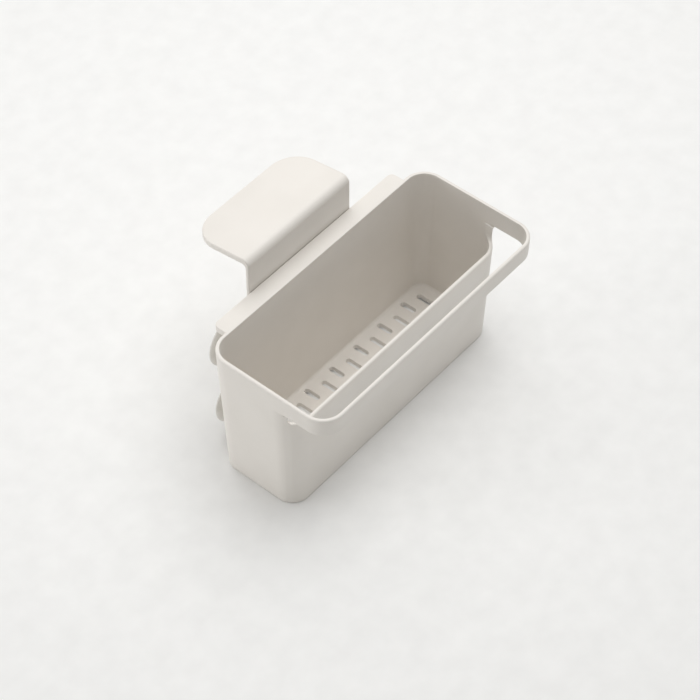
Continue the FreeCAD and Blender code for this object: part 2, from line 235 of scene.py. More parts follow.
class Nodes:
    """Short calls for a material's or the world's nodes."""

    def __init__(self, owner: bpy.types.ID) -> None:
        """Start an empty tree.

        Args:
            owner: Material or world.
        """
        owner.use_nodes = True
        self.tree = owner.node_tree
        self.tree.nodes.clear()

    def add(self, kind: str, settings: dict | None = None, **inputs: object) -> bpy.types.Node:
        """New node.

        Args:
            kind: Type of the node.
            settings: Properties of the node.
            inputs: Values, or outputs to link, by input name with _ for a space.

        Returns:
            The node.
        """
        node = self.tree.nodes.new(kind)
        for name, value in (settings or {}).items():
            setattr(node, name, value)
        for name, value in inputs.items():
            socket = node.inputs[name.replace("_", " ")]
            if isinstance(value, bpy.types.NodeSocket):
                self.tree.links.new(value, socket)
            else:
                socket.default_value = value
        return node

    def noise(self, scale: float, detail: float) -> bpy.types.NodeSocket:
        """Noise on the piece's own coordinates.

        Args:
            scale: Cells to the metre.
            detail: Number of finer layers.

        Returns:
            Value from 0 to 1.
        """
        place = self.add("ShaderNodeTexCoord")
        node = self.add("ShaderNodeTexNoise", Vector=place.outputs["Object"], Scale=scale, Detail=detail)
        return node.outputs["Fac"]

    def spread(self, source: bpy.types.NodeSocket, low: float, high: float) -> bpy.types.NodeSocket:
        """Source spread over a range of values."""
        node = self.add("ShaderNodeMapRange", Value=source, To_Min=low, To_Max=high)
        return node.outputs["Result"]

    def shade(self, source: bpy.types.NodeSocket, dark: Colour, light: Colour) -> bpy.types.NodeSocket:
        """Colour between dark and light.

        Args:
            source: Value from 0 to 1.
            dark: Linear colour at the low end of the noise's range.
            light: Linear colour at its high end.

        Returns:
            The colour.
        """
        node = self.add("ShaderNodeValToRGB", Fac=source)
        for stop, position, colour in zip(node.color_ramp.elements, NOISE_RANGE, (dark, light)):
            stop.position = position
            stop.color = (*colour, 1)
        return node.outputs["Color"]

    def finish(self, shader: bpy.types.Node) -> None:
        """Send a shader to the surface."""
        output = self.add("ShaderNodeOutputMaterial")
        self.tree.links.new(shader.outputs[0], output.inputs["Surface"])


@dataclass(frozen=True)
class MouldedPlastic:
    """Warm white polypropylene with the fine grain of an eroded mould.

    Attributes:
        dark: Linear colour of the greyer patches.
        light: Linear colour of the paler patches.
        patches: Patches of colour to the metre.
        patch_detail: Finer layers in the patches of colour and of gloss.
        grain: Cells of mould grain to the metre.
        grain_detail: Finer layers in the grain.
        grain_depth: Depth of the grain in metres.
        grain_strength: Share of that depth that shows.
        gloss_cells: Cells of grain across a patch of gloss.
        smooth: Least roughness.
        rough: Greatest roughness.
        ior: Index of refraction.
    """

    dark: Colour = (0.800, 0.765, 0.715)
    light: Colour = (0.835, 0.800, 0.752)
    patches: float = 28.0
    patch_detail: float = 3.0
    grain: float = 2600.0
    grain_detail: float = 2.0
    grain_depth: float = 0.000012
    grain_strength: float = 0.35
    gloss_cells: float = 6.0
    smooth: float = 0.40
    rough: float = 0.52
    ior: float = 1.49

    def material(self) -> bpy.types.Material:
        """Material with patches of colour, roughness and grain on the piece's own coordinates.

        Returns:
            The material.
        """
        made = bpy.data.materials.new("moulded_plastic")
        nodes = Nodes(made)
        colour = nodes.shade(nodes.noise(self.patches, self.patch_detail), self.dark, self.light)
        grain = nodes.noise(self.grain, self.grain_detail)
        gloss = nodes.noise(self.grain / self.gloss_cells, self.patch_detail)
        rough = nodes.spread(gloss, self.smooth, self.rough)
        bump = nodes.add(
            "ShaderNodeBump", Height=grain, Strength=self.grain_strength, Distance=self.grain_depth,
        )
        shader = nodes.add(
            "ShaderNodeBsdfPrincipled", Base_Color=colour, Roughness=rough, IOR=self.ior,
            Normal=bump.outputs["Normal"],
        )
        nodes.finish(shader)
        return made


@dataclass(frozen=True)
class SoftVinyl:
    """Milky vinyl of the suction cups, which light sinks into.

    Attributes:
        dark: Linear colour of the cloudier patches.
        light: Linear colour of the clearer patches.
        clouds: Clouds to the metre.
        cloud_detail: Finer layers in the clouds.
        smooth: Least roughness.
        rough: Greatest roughness.
        milky_share: Share of the light that spreads under the surface.
        depth: How far it spreads.
        tint: How far each colour spreads, as shares of that depth.
    """

    dark: Colour = (0.66, 0.64, 0.60)
    light: Colour = (0.76, 0.74, 0.70)
    clouds: float = 90.0
    cloud_detail: float = 4.0
    smooth: float = 0.24
    rough: float = 0.36
    milky_share: float = 0.5
    depth: float = 0.004
    tint: Colour = (1.0, 1.0, 1.0)

    def material(self) -> bpy.types.Material:
        """Material with clouds of colour and gloss on the piece's own coordinates.

        Returns:
            The material.
        """
        made = bpy.data.materials.new("soft_vinyl")
        nodes = Nodes(made)
        clouds = nodes.noise(self.clouds, self.cloud_detail)
        colour = nodes.shade(clouds, self.dark, self.light)
        rough = nodes.spread(clouds, self.smooth, self.rough)
        shader = nodes.add(
            "ShaderNodeBsdfPrincipled", Base_Color=colour, Roughness=rough,
            Subsurface_Weight=self.milky_share, Subsurface_Radius=self.tint, Subsurface_Scale=self.depth,
        )
        nodes.finish(shader)
        return made


@dataclass(frozen=True)
class PalePaper:
    """Pale studio floor.

    Attributes:
        dark: Linear colour of the paper's darker fibres.
        light: Linear colour of the paper.
        fibres: Fibres to the metre.
        fibre_detail: Finer layers in the fibres.
        rough: Roughness.
    """

    dark: Colour = (0.89, 0.89, 0.88)
    light: Colour = (0.93, 0.93, 0.92)
    fibres: float = 60.0
    fibre_detail: float = 4.0
    rough: float = 0.9

    def material(self) -> bpy.types.Material:
        """Matt material with a faint mottle.

        Returns:
            The material.
        """
        made = bpy.data.materials.new("pale_paper")
        nodes = Nodes(made)
        colour = nodes.shade(nodes.noise(self.fibres, self.fibre_detail), self.dark, self.light)
        shader = nodes.add("ShaderNodeBsdfPrincipled", Base_Color=colour, Roughness=self.rough)
        nodes.finish(shader)
        return made


def dress(piece: bpy.types.Object, finish: bpy.types.Material, body: Body, node: str) -> None:
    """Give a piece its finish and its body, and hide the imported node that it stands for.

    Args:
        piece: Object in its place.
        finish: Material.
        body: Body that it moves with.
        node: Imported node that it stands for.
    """
    piece.data.materials.append(finish)
    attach(piece, body.value)
    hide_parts(node)


@dataclass(frozen=True)
class Spine:
    """Rectangle of the corners' centres, from which upright walls stand off all round.

    A walk starts in the middle of the back and is positive to the right.

    Attributes:
        half_length: Half of the rectangle along X.
        back: Its back side along Y.
        front: Its front side along Y.
        radius: Radius at which a walk round a corner is measured.
        ease: Radius of the rectangle's own front corners, which makes the walls' corners wider there.
    """

    half_length: float
    back: float
    front: float
    radius: float
    ease: float = 0.0

    @property
    def quarter(self) -> float:
        """Length of a walk round one corner."""
        return self.radius * QUARTER_TURN

    @property
    def front_quarter(self) -> float:
        """Length of a walk round one front corner."""
        return (self.radius + self.ease) * QUARTER_TURN

    @property
    def side_end(self) -> float:
        """Walk to the end of the side, where the front corner starts."""
        return self.half_length + self.quarter + self.back - self.front - self.ease

    @property
    def half_walk(self) -> float:
        """Walk to the middle of the front."""
        return self.side_end + self.front_quarter + self.half_length - self.ease

    def at(self, walk: np.ndarray) -> tuple[np.ndarray, np.ndarray]:
        """Centre and outward normal at a walk.

        The walk is cut into five runs, each clipped to its own length: along the back, round the back
        corner, along the side, round the front corner and along the front. The straight runs move the
        centre and the two turns add up to the normal's angle. Round the front corner the centre itself
        moves along a quarter circle of the ease.

        Args:
            walk: Walks of any shape, which wrap round at the middle of the front.

        Returns:
            Arrays of X and Y of the centres and of the normals.
        """
        wrapped = (walk + self.half_walk) % (2 * self.half_walk) - self.half_walk
        hand = np.where(wrapped < 0, -1.0, 1.0)
        left = np.abs(wrapped)
        depth = self.back - self.front - self.ease
        front = self.half_length - self.ease
        runs = []
        for length in (self.half_length, self.quarter, depth, self.front_quarter, front):
            runs.append(np.clip(left, 0, length))
            left = left - length
        turn = runs[3] / (self.radius + self.ease)
        angle = runs[1] / self.radius + turn
        x = runs[0] - runs[4] - self.ease * (1 - np.cos(turn))
        y = self.back - runs[2] - self.ease * np.sin(turn)
        return np.stack([hand * x, y], axis=-1), np.stack([hand * np.sin(angle), np.cos(angle)], axis=-1)


@dataclass
class Trough:
    """Leaning walls of the basket, with the sill and the cloth rail.

    Attributes:
        base_length: Length of the walls' outside at the foot.
        base_depth: Depth of the walls' outside at the foot.
        base_corner: Outer corner radius at the foot.
        front_ease: How much wider the radius of the front wall's corners is.
        lean: How far the walls lean outwards from the foot to the rim.
        wall: Wall thickness.
        rim: Height of the rim.
        band: Height of the band that runs on as the rail.
        gap: Height between the sill and the band.
        reach: How far the rail stands in front of the front wall.
        window: Length of the window over the sill, whose ends are cut straight to the front.
        step: Height in which the front corners go over into the straight band.
        sill_round: Radius of the window's lower corners.
        band_round: Radius of the window's upper corners.
        edge: Rounding of the outer edges.
        inner_edge_share: Share of that rounding on the inner edges.
        cut_edge_share: Share of the rounding at the top of the window's ends.
        rail_edge_share: Share of the rounding on the rail's lower edges.
        middle: Y of the base's middle.
        wall_shares: Heights of the rows below the sill, as shares of the sill's height.
        band_shares: Heights of the rows over the band's foot, as shares of the band.
        step_shares: Depths of the rows in the step, as shares of it.
        bend_shares: Places of the columns from the front corner's start, as shares of the walk to the cut.
        sill_steps: Points on half of a lower corner of the window.
        band_steps: Points on half of an upper corner of the window.
        long_steps: Points along half of the back or of the front.
        side_steps: Points along an end wall.
        rail_steps: Points along a straight end of the rail.
        corner_steps: Points round a corner.
    """

    base_length: float = 0.2030
    base_depth: float = 0.0628
    base_corner: float = 0.0116
    front_ease: float = 0.0017
    lean: float = 0.0044
    wall: float = 0.0026
    rim: float = 0.1100
    band: float = 0.0144
    gap: float = 0.0122
    reach: float = 0.0266
    window: float = 0.2032
    step: float = 0.0008
    sill_round: float = 0.0050
    band_round: float = 0.0007
    edge: float = 0.0013
    inner_edge_share: float = 0.4
    cut_edge_share: float = 0.3
    rail_edge_share: float = 0.5
    middle: float = -0.0168
    wall_shares: tuple[float, ...] = (0, 0.035, 0.12, 0.3, 0.5, 0.7, 0.84, 0.94)
    band_shares: tuple[float, ...] = (0.3, 0.55, 0.75, 1)
    step_shares: tuple[float, ...] = (1, 0.75, 0.5, 0.25)
    bend_shares: tuple[float, ...] = (0.15, 0.3, 0.45, 0.6, 0.74)
    sill_steps: int = 5
    band_steps: int = 3
    long_steps: int = 9
    side_steps: int = 6
    rail_steps: int = 5
    corner_steps: int = 15

    def __post_init__(self) -> None:
        """Work out the heights of the window over the sill, the two spines and the window's ends.

        A window's end cuts the front corner at one X, which the outer circle reaches at a greater angle
        than the inner one. The mean of the two is the walk of the cut, and half of their difference is
        its slant.
        """
        self.band_foot = self.rim - self.band
        self.sill = self.band_foot - self.gap
        half_length = self.base_length / 2 - self.base_corner
        half_depth = self.base_depth / 2 - self.base_corner
        back = self.middle + half_depth
        front = self.middle - half_depth
        radius = self.base_corner + self.lean * self.sill / self.rim - self.wall / 2
        self.walls = Spine(half_length, back, front, radius, self.front_ease)
        self.rail = Spine(half_length, back, front - self.reach, radius)
        across = self.window / 2 - half_length + self.front_ease
        corner = radius + self.front_ease
        outer, inner = (math.acos(across / (corner + away)) for away in (self.wall / 2, -self.wall / 2))
        self.cut = self.walls.side_end + corner * (outer + inner) / 2
        self.slant = corner * (outer - inner) / 2

    def back_face(self, height: float) -> float:
        """Y of the back wall's outside at a height."""
        return self.middle + self.base_depth / 2 + self.lean * height / self.rim

    def face(self, walk: np.ndarray, height: np.ndarray, inset: float | np.ndarray) -> np.ndarray:
        """Points on a wall, at an inset from its outside.

        A point stands off its spine along the normal by the corner radius at that height. Walls follow
        the trough's spine and the band follows the rail's, and in the step under the band the place
        eases over from one to the other, which parts them only next to the window.

        Args:
            walk: Walks round the spine.
            height: Heights above the base.
            inset: Distance from the outside, square to the wall.

        Returns:
            Points of the shape that the arguments spread to.
        """
        walk, height, inset = np.broadcast_arrays(walk, height, inset)
        stand = (self.base_corner + self.lean * height / self.rim - inset)[..., None]
        rise = np.clip((height - self.band_foot + self.band_round) / self.step + 1, 0, 1)
        share = (rise * rise * (3 - 2 * rise))[..., None]
        plans = [centre + stand * normal for centre, normal in (self.walls.at(walk), self.rail.at(walk))]
        plan = plans[0] * (1 - share) + plans[1] * share
        return placed(plan[..., 0], plan[..., 1], height)

    def slanted(self, walk: np.ndarray, by: float) -> np.ndarray:
        """Walks moved on by the cut's slant at the window's ends, and less the further from there."""
        near = 1 - np.abs(np.abs(walk) - self.cut) / (self.cut - self.walls.side_end)
        return walk + np.sign(walk) * by * np.clip(near, 0, 1)

    def sheet(
        self, walk: np.ndarray, height: np.ndarray, edges: list[tuple], rounding: np.ndarray,
    ) -> Surface:
        """Outer and inner faces of one stretch of wall, joined by strips along some of its edges.

        Args:
            walk: Walks of a grid.
            height: Heights of the grid.
            edges: Index of each line of the grid that is a free edge.
            rounding: Share of the edge rounding in each row.

        Returns:
            Faces and strips as one surface.
        """
        outer = self.face(self.slanted(walk, self.slant), height, 0.0)
        inner = self.face(self.slanted(walk, -self.slant), height, self.wall)
        rounding = np.broadcast_to(rounding[:, None], outer.shape[:2])
        shares = np.stack([rounding, rounding * self.inner_edge_share])
        sides = [Surface.grid(side, rounding=share) for side, share in zip((outer, inner), shares)]
        strips = [Surface.grid(np.stack([outer[at], inner[at]]), rounding=shares[:, *at]) for at in edges]
        return Surface.join(*sides, *strips)

    def shell(self) -> Surface:
        """Walls with their rim, foot and the window between the sill and the rail.

        The shell is three grids of walk and height: the back and the ends from foot to rim, the front
        wall from foot to sill, and the rail from the band's foot to the rim. At the window's corners
        the grids' edge lines bend along the corner's circle up to its middle, where the grids meet. Up
        the window's ends the rounding falls by a sine to the cut's share, and from the step on there is
        none. The rail's lower edges have their own share of it.

        Returns:
            The closed surface.
        """
        sill_out, sill_up = eased_corner(self.sill_round, self.sill_steps)
        band_out, band_up = eased_corner(self.band_round, self.band_steps)
        low = np.array(self.wall_shares) * self.sill
        high = self.band_foot + np.array(self.band_shares) * self.band
        step = self.band_foot - self.band_round - self.step * np.array(self.step_shares)
        plain = np.concatenate([[(self.sill + self.sill_round + step[0]) / 2], step])
        upright = np.concatenate([self.sill + sill_up[::-1], plain, self.band_foot - band_up])
        overhang = np.concatenate([sill_out[::-1], np.zeros(len(plain)), band_out])
        share = (upright - upright[0]) / (step[0] - upright[0])
        rounding = np.where(share < 1, 1 - (1 - self.cut_edge_share) * np.sin(QUARTER_TURN * share), 0)

        # Back and ends
        spine = self.walls
        turn = np.linspace(0, spine.quarter, self.corner_steps)
        side = np.linspace(spine.half_length + spine.quarter, spine.side_end, self.side_steps)
        bend = spine.side_end + np.array(self.bend_shares) * (self.cut - spine.side_end)
        back = np.linspace(0, spine.half_length, self.long_steps)
        stations = np.concatenate([back, spine.half_length + turn[1:], side[1:], bend])
        heights = np.concatenate([low, upright, high])
        ends = self.cut + np.pad(overhang, (len(low), len(high)), mode="edge")
        middle = np.broadcast_to(both_ways(stations), (len(heights), 2 * len(stations) - 1))
        walk = np.concatenate([-ends[:, None], middle, ends[:, None]], axis=1)
        window = slice(len(low), len(low) + len(upright))
        edges = [np.s_[0, :], np.s_[-1, :], np.s_[window, 0], np.s_[window, -1]]
        rounding = np.pad(rounding, (len(low), len(high)), constant_values=1)
        main = self.sheet(walk, heights[:, None], edges, rounding)

        # Front wall, whose top row rises along the circles of the window's lower corners
        onward = self.on_to_middle(spine, self.cut + self.sill_round)
        half = np.concatenate([self.cut + sill_up[::-1], onward])
        rise = np.pad(sill_out[::-1], (0, len(half) - len(sill_out)))
        top = self.sill + np.concatenate([rise, rise[-2::-1]])
        heights = np.concatenate([np.repeat(low[:, None], len(top), axis=1), top[None]])
        walk = np.broadcast_to(np.concatenate([half, -half[-2::-1]]), heights.shape)
        front = self.sheet(walk, heights, [np.s_[0, :], np.s_[-1, :]], np.ones(len(heights)))

        # Rail, whose lowest row falls along the circles of the window's upper corners
        onward = self.on_to_middle(self.rail, self.cut + self.band_round)
        half = np.concatenate([self.cut + band_up[::-1], onward])
        fall = np.pad(band_out[::-1], (0, len(half) - len(band_out)))
        foot = self.band_foot - np.concatenate([fall, fall[-2::-1]])
        heights = np.concatenate([foot[None], np.repeat(high[:, None], len(foot), axis=1)])
        walk = np.broadcast_to(np.concatenate([half, -half[-2::-1]]), heights.shape)
        rounding = np.where(np.arange(len(heights)) > 0, 1, self.rail_edge_share)
        rail = self.sheet(walk, heights, [np.s_[0, :], np.s_[-1, :]], rounding)
        return Surface.join(main, front, rail)

    def on_to_middle(self, spine: Spine, start: float) -> np.ndarray:
        """Walks from after a start to the middle of the front, closer together round the corner.

        Args:
            spine: Spine that is walked.
            start: Walk that comes before the first one.

        Returns:
            Rising walks.
        """
        straight = np.linspace(start, max(start, spine.side_end), self.rail_steps)[1:-1]
        corner = spine.side_end + np.linspace(0, spine.front_quarter, self.corner_steps)
        front = np.linspace(spine.side_end + spine.front_quarter, spine.half_walk, self.long_steps)[1:]
        walks = np.concatenate([straight, corner, front])
        return walks[walks > start + self.edge]

    def build(self, plastic: bpy.types.Material) -> None:
        """Make the walls and dress them.

        Args:
            plastic: Material.
        """
        piece = self.shell().make("basket_walls")
        round_over(piece, self.edge)
        dress(piece, plastic, Body.BASKET, "basket")


@dataclass
class DrainFloor:
    """Floor of the basket with its rows of drain slots.

    Attributes:
        trough: Walls that the floor joins.
        under: Height of its underside.
        top: Height of its upper side.
        cove: Radius where it meets the walls.
        slot_width: Width of a slot.
        pitch: Distance between neighbouring slots.
        long_slots: Number of long slots, with one short pair fewer between them.
        long_length: Length of a long slot.
        short_length: Length of a short slot.
        short_place: Distance of the short slots' middles from the floor's middle.
        edge: Rounding of the slots' edges.
        field: Half of the floor's depth that the slots' cells take.
        draw_in_share: Share by which the end cells' outer halves are narrowed, to clear the floor's corners.
        side_steps: Steps along a short cell's side.
        end_steps: Steps along a cell's end.
        edge_steps: Points across the rounding of a slot's edge.
        cove_steps: Points up the cove.
    """

    trough: Trough
    under: float = 0.0022
    top: float = 0.0060
    cove: float = 0.0016
    slot_width: float = 0.0040
    pitch: float = 0.0126
    long_slots: int = 8
    long_length: float = 0.0434
    short_length: float = 0.0121
    short_place: float = 0.0195
    edge: float = 0.0004
    field: float = 0.0262
    draw_in_share: float = 0.5
    side_steps: int = 10
    end_steps: int = 12
    edge_steps: int = 4
    cove_steps: int = 6

    def ring(self, half_width: float, low: float, high: float, steps: int, rounded: bool) -> np.ndarray:
        """Outline of a cell or a slot, anticlockwise from its right foot.

        The four sides are walked in equal steps. A cell's ends are straight, and a slot's ends are half
        circles on its half width.

        Args:
            half_width: Half of the width along X.
            low: Y at which the straight sides start.
            high: Y at which they end.
            steps: Steps along each straight side.
            rounded: Whether the ends are half circles.

        Returns:
            Points in X and Y, round the outline.
        """
        share = np.linspace(0, 1, self.end_steps, endpoint=False)
        across = half_width * (np.cos(HALF_TURN * share) if rounded else 1 - 2 * share)
        out = half_width * np.sin(HALF_TURN * share) * rounded
        up = np.linspace(low, high, steps, endpoint=False)
        down = np.linspace(high, low, steps, endpoint=False)
        x = np.concatenate([np.full(steps, half_width), across, np.full(steps, -half_width), -across])
        return np.stack([x, np.concatenate([up, high + out, down, low - out])], axis=-1)

    def drawn_in(self, x: np.ndarray) -> np.ndarray:
        """X on the cells' border, less a share of its distance past the end slots' middles."""
        past = np.clip(np.abs(x) - (self.long_slots - 1) * self.pitch, 0, None)
        return x - np.sign(x) * past * self.draw_in_share

    def cell(self, x: float, low: float, high: float, middle: float, length: float, steps: int) -> Surface:
        """Piece of the floor round one slot.

        A profile goes from the cell's border on the underside to the slot, up through the slot with
        rounded edges, and back to the border on the upper side. It is carried round the slot.

        Args:
            x: X of the slot.
            low: Y at which the cell starts.
            high: Y at which it ends.
            middle: Y of the slot's middle.
            length: Length of the slot.
            steps: Steps along the cell's side.

        Returns:
            The cell, open at its border.
        """
        angle = np.linspace(0, QUARTER_TURN, self.edge_steps)
        away = self.edge * (1 - np.sin(angle))
        deep = self.edge * (1 - np.cos(angle))
        reach = (length - self.slot_width) / 2
        border = self.ring(self.pitch / 2, low, high, steps, False)
        border[:, 0] = self.drawn_in(x + border[:, 0]) - x
        rings = [
            self.ring(self.slot_width / 2 + out, middle - reach, middle + reach, steps, True)
            for out in np.concatenate([away, away[::-1]])
        ]
        plan = np.stack([border, *rings, border])
        rise = np.concatenate([[self.under], self.under + deep, self.top - deep[::-1], [self.top]])
        y = self.trough.middle + plan[..., 1]
        return Surface.grid(placed(x + plan[..., 0], y, rise[:, None]), ring=True)

    def border(self, columns: int) -> Surface:
        """Rest of the floor, from the slots' cells to the inside of the walls.

        A profile runs from the cells out over the upper side, up the cove into the wall, down inside
        the wall and back along the underside. It is carried round the walls.

        Args:
            columns: Number of cells along X.

        Returns:
            The border, open where it meets the cells.
        """
        half = columns * self.pitch / 2
        counts = (columns * self.end_steps, 2 * self.side_steps) * 2
        along = np.linspace(-half, half, counts[0], endpoint=False)
        across = np.linspace(self.field, -self.field, counts[1], endpoint=False)
        x = np.concatenate([along, np.full(counts[1], half), -along, np.full(counts[1], -half)])
        x = self.drawn_in(x)
        y = np.concatenate([np.full(counts[0], self.field), across, np.full(counts[0], -self.field), -across])
        spine = self.trough.walls
        back = spine.half_length + spine.quarter / 2
        front = spine.side_end + spine.front_quarter / 2
        marks = (-back, back, front, 2 * spine.half_walk - front, 2 * spine.half_walk - back)
        spans = zip(marks[:-1], marks[1:], counts)
        walk = np.concatenate([np.linspace(start, end, count, endpoint=False) for start, end, count in spans])

        angle = np.linspace(0, QUARTER_TURN, self.cove_steps)
        wall = self.trough.wall
        inset = np.concatenate([wall + self.cove * (1 - np.sin(angle)), [wall / 2, wall / 2]])
        cove_top = self.top + self.cove
        height = np.concatenate([cove_top - self.cove * np.cos(angle), [cove_top, self.under]])
        rings = self.trough.face(walk, height[:, None], inset[:, None])
        cells = [placed(x, self.trough.middle + y, height)[None] for height in (self.top, self.under)]
        return Surface.grid(np.concatenate([cells[0], rings, cells[1]]), ring=True)

    def plate(self) -> Surface:
        """Cells of the long slots and of the pairs of short ones between them, within the border.

        Returns:
            The closed surface.
        """
        columns = 2 * self.long_slots - 1
        parts = [self.border(columns)]
        for column in range(columns):
            x = (column - self.long_slots + 1) * self.pitch
            if column % 2 == 0:
                parts.append(self.cell(x, -self.field, self.field, 0, self.long_length, 2 * self.side_steps))
                continue
            for low, middle in ((-self.field, -self.short_place), (0, self.short_place)):
                parts.append(self.cell(x, low, low + self.field, middle, self.short_length, self.side_steps))
        return Surface.join(*parts)

    def build(self, plastic: bpy.types.Material) -> None:
        """Make the floor and dress it.

        Args:
            plastic: Material.
        """
        piece = self.plate().make("basket_floor")
        piece.modifiers.new("normals", "WEIGHTED_NORMAL")
        dress(piece, plastic, Body.BASKET, "basket")


@dataclass(frozen=True)
class Tab:
    """Plan of a flat tab whose two back corners are round.

    Attributes:
        half_width: Half of its width.
        front: Y of its front.
        back: Y of its back.
        corner: Radius of its back corners.
    """

    half_width: float
    front: float
    back: float
    corner: float

    def columns(self, steps: int, corner_steps: int) -> np.ndarray:
        """Columns, even over the straight back and at even angles round the corners.

        Args:
            steps: Points along half of the straight back.
            corner_steps: Steps to the middle of a corner.

        Returns:
            Rising values from -1 to 1.
        """
        straight = self.half_width - self.corner
        angle = np.linspace(0, EIGHTH_TURN, corner_steps + 1)[1:]
        half = np.concatenate([np.linspace(0, straight, steps), straight + self.corner * np.sin(angle)])
        return both_ways(half / half[-1])

    def plan(self, columns: np.ndarray, rows: np.ndarray) -> tuple[np.ndarray, np.ndarray]:
        """Grid of the tab, whose rows are level but for the last, which follows the back edge.

        A row that lies by a corner is as wide as the corner's circle there. The last row ends at the
        middle of the corners' circles, so that the grid's lines meet the edge well.

        Args:
            columns: Columns from -1 to 1.
            rows: Y of each row but the last.

        Returns:
            X and Y of the grid.
        """
        centre_x = self.half_width - self.corner
        centre_y = self.back - self.corner
        rise = np.clip(rows - centre_y, 0, None)
        widths = centre_x + np.sqrt(self.corner ** 2 - rise ** 2)
        tip_x = columns * (centre_x + self.corner * math.cos(EIGHTH_TURN))
        out = np.clip(np.abs(tip_x) - centre_x, 0, None)
        tip_y = centre_y + np.sqrt(self.corner ** 2 - out ** 2)
        x = np.concatenate([widths[:, None] * columns, tip_x[None]])
        y = np.concatenate([np.repeat(rows[:, None], len(columns), axis=1), tip_y[None]])
        return x, y

    def corner_rows(self, steps: int) -> np.ndarray:
        """Y of the rows beside a corner's circle, from its start to just before its middle."""
        angle = np.linspace(0, EIGHTH_TURN, steps + 1)[:-1]
        return self.back - self.corner + self.corner * np.sin(angle)


def slab(upper: np.ndarray, lower: np.ndarray) -> Surface:
    """Closed shell between two grids of the same shape.

    Args:
        upper: Points of the upper side.
        lower: Points of the lower side.

    Returns:
        Both sides and the strips along the four edges.
    """
    edges = [np.s_[0, :], np.s_[-1, :], np.s_[:, 0], np.s_[:, -1]]
    strips = [Surface.grid(np.stack([upper[edge], lower[edge]])) for edge in edges]
    return Surface.join(Surface.grid(upper), Surface.grid(lower), *strips)


@dataclass
class HookLedge:
    """Ledge behind the rim, whose edge turns down all round as a rail for the hook.

    Attributes:
        trough: Walls that carry it.
        half_length: Half of its length.
        depth: How far it stands behind the rim.
        thickness: Thickness of its plate.
        corner: Radius of its back corners.
        drop: How far its edge turns down.
        skirt: Thickness of the turned edge.
        edge: Rounding of its edges.
        root: How far it reaches into the wall.
        sink: How far its top lies under the rim's, so that the two don't meet in one plane.
        row_steps: Points from its front to where the corners start.
        column_steps: Points along half of its straight back.
        corner_steps: Steps to the middle of a corner.
    """

    trough: Trough
    half_length: float = 0.0870
    depth: float = 0.0101
    thickness: float = 0.0022
    corner: float = 0.0040
    drop: float = 0.0050
    skirt: float = 0.0022
    edge: float = 0.0006
    root: float = 0.0017
    sink: float = 0.00001
    row_steps: int = 4
    column_steps: int = 9
    corner_steps: int = 2

    def shell(self) -> Surface:
        """Plate with its turned edge.

        Rows and columns stand double where the channel under the plate starts, so that its sides are
        upright: the underside is high inside them and low outside.

        Returns:
            The closed surface.
        """
        face = self.trough.back_face(self.trough.rim)
        tab = Tab(self.half_length, face - self.root, face + self.depth, self.corner)
        channel = tab.back - self.skirt
        straight = np.linspace(tab.front, tab.back - self.corner, self.row_steps)
        rows = np.append(straight, [channel, channel])
        rib = 1 - self.skirt / self.half_length
        even = tab.columns(self.column_steps, self.corner_steps)
        columns = np.sort(np.append(even, [-rib, -rib, rib, rib]))
        x, y = tab.plan(columns, rows)
        inside_rows = np.arange(len(rows) + 1) <= np.searchsorted(rows, channel)
        places = np.arange(len(columns))
        first = np.searchsorted(columns, -rib) + 1
        last = np.searchsorted(columns, rib)
        inside = inside_rows[:, None] & ((places >= first) & (places <= last))
        top = self.trough.rim - self.sink
        under = np.where(inside, self.trough.rim - self.thickness, self.trough.rim - self.drop)
        return slab(placed(x, y, top), placed(x, y, under))

    def build(self, plastic: bpy.types.Material) -> None:
        """Make the ledge and dress it.

        Args:
            plastic: Material.
        """
        piece = self.shell().make("basket_ledge")
        round_over(piece, self.edge)
        dress(piece, plastic, Body.BASKET, "basket")


